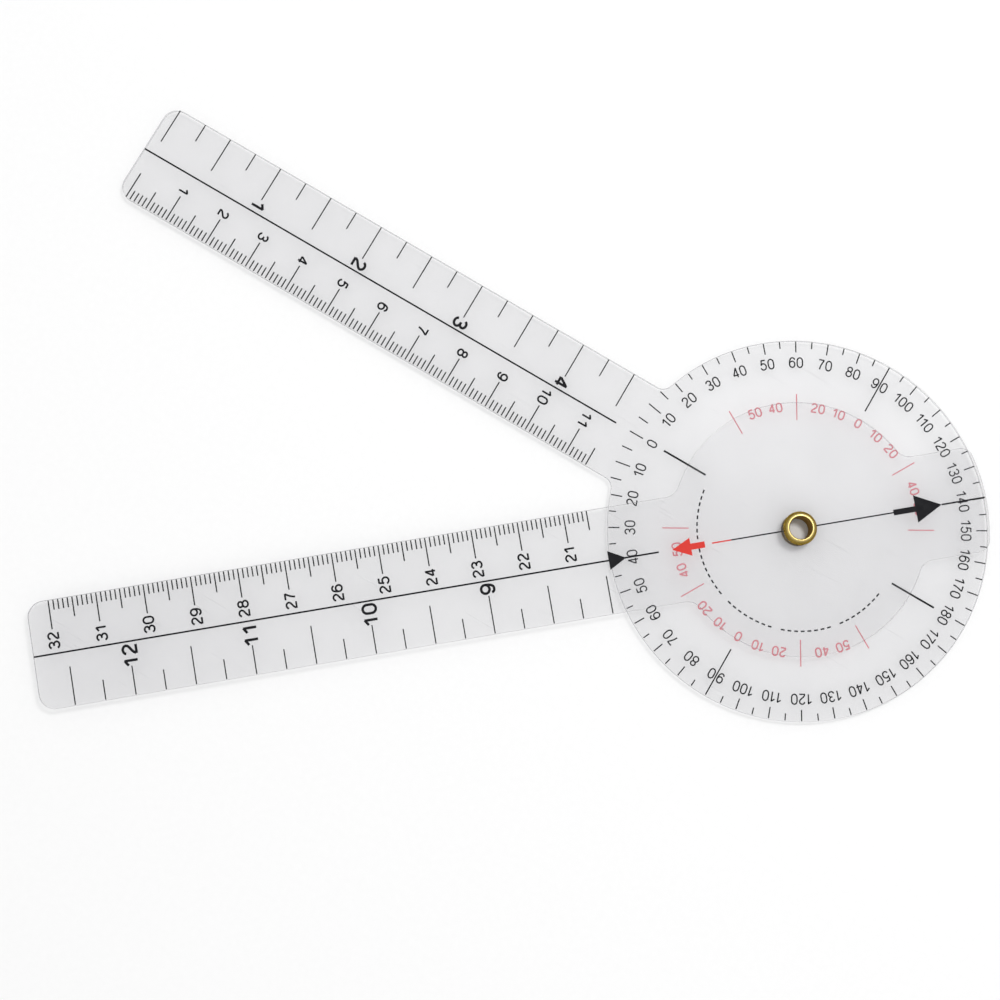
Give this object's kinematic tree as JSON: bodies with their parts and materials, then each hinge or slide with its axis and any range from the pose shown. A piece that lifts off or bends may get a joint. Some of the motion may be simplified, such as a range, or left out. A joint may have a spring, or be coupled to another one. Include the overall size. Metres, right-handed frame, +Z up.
{
  "type": "goniometer",
  "caption": "Flat clear plastic goniometer: a round degree dial with a ruler arm, and a second ruler arm with pointers that turns on it about a hollow brass eyelet.",
  "frame": {"origin": "middle of the outline at rest, at the height of the eyelet's underside, on which the goniometer lies", "axes": "+X from the pivot along the dial arm, +Z up out of the printed faces, +Y completes a right-handed frame"},
  "size_m": [0.2052, 0.1544, 0.0047],
  "materials": {
    "dial_plastic": "clear water-white sheet, polished faces, slightly darker cut edges",
    "moving_plastic": "clear water-white sheet, polished faces, slightly darker cut edges",
    "eyelet_brass": "bright rolled brass",
    "black_print": "screen-printed black ink",
    "red_print": "screen-printed red ink"
  },
  "bodies": {
    "dial": {"dial_arm": "dial_plastic", "pivot_eyelet": "eyelet_brass"},
    "pointer": {"moving_arm": "moving_plastic"}
  },
  "joints": [
    {"name": "arm_swing", "type": "hinge", "parent": "dial", "child": "pointer", "pos_m": [-0.0613, -0.03586, 0], "axis": [0, 0, 1], "continuous": true}
  ]
}
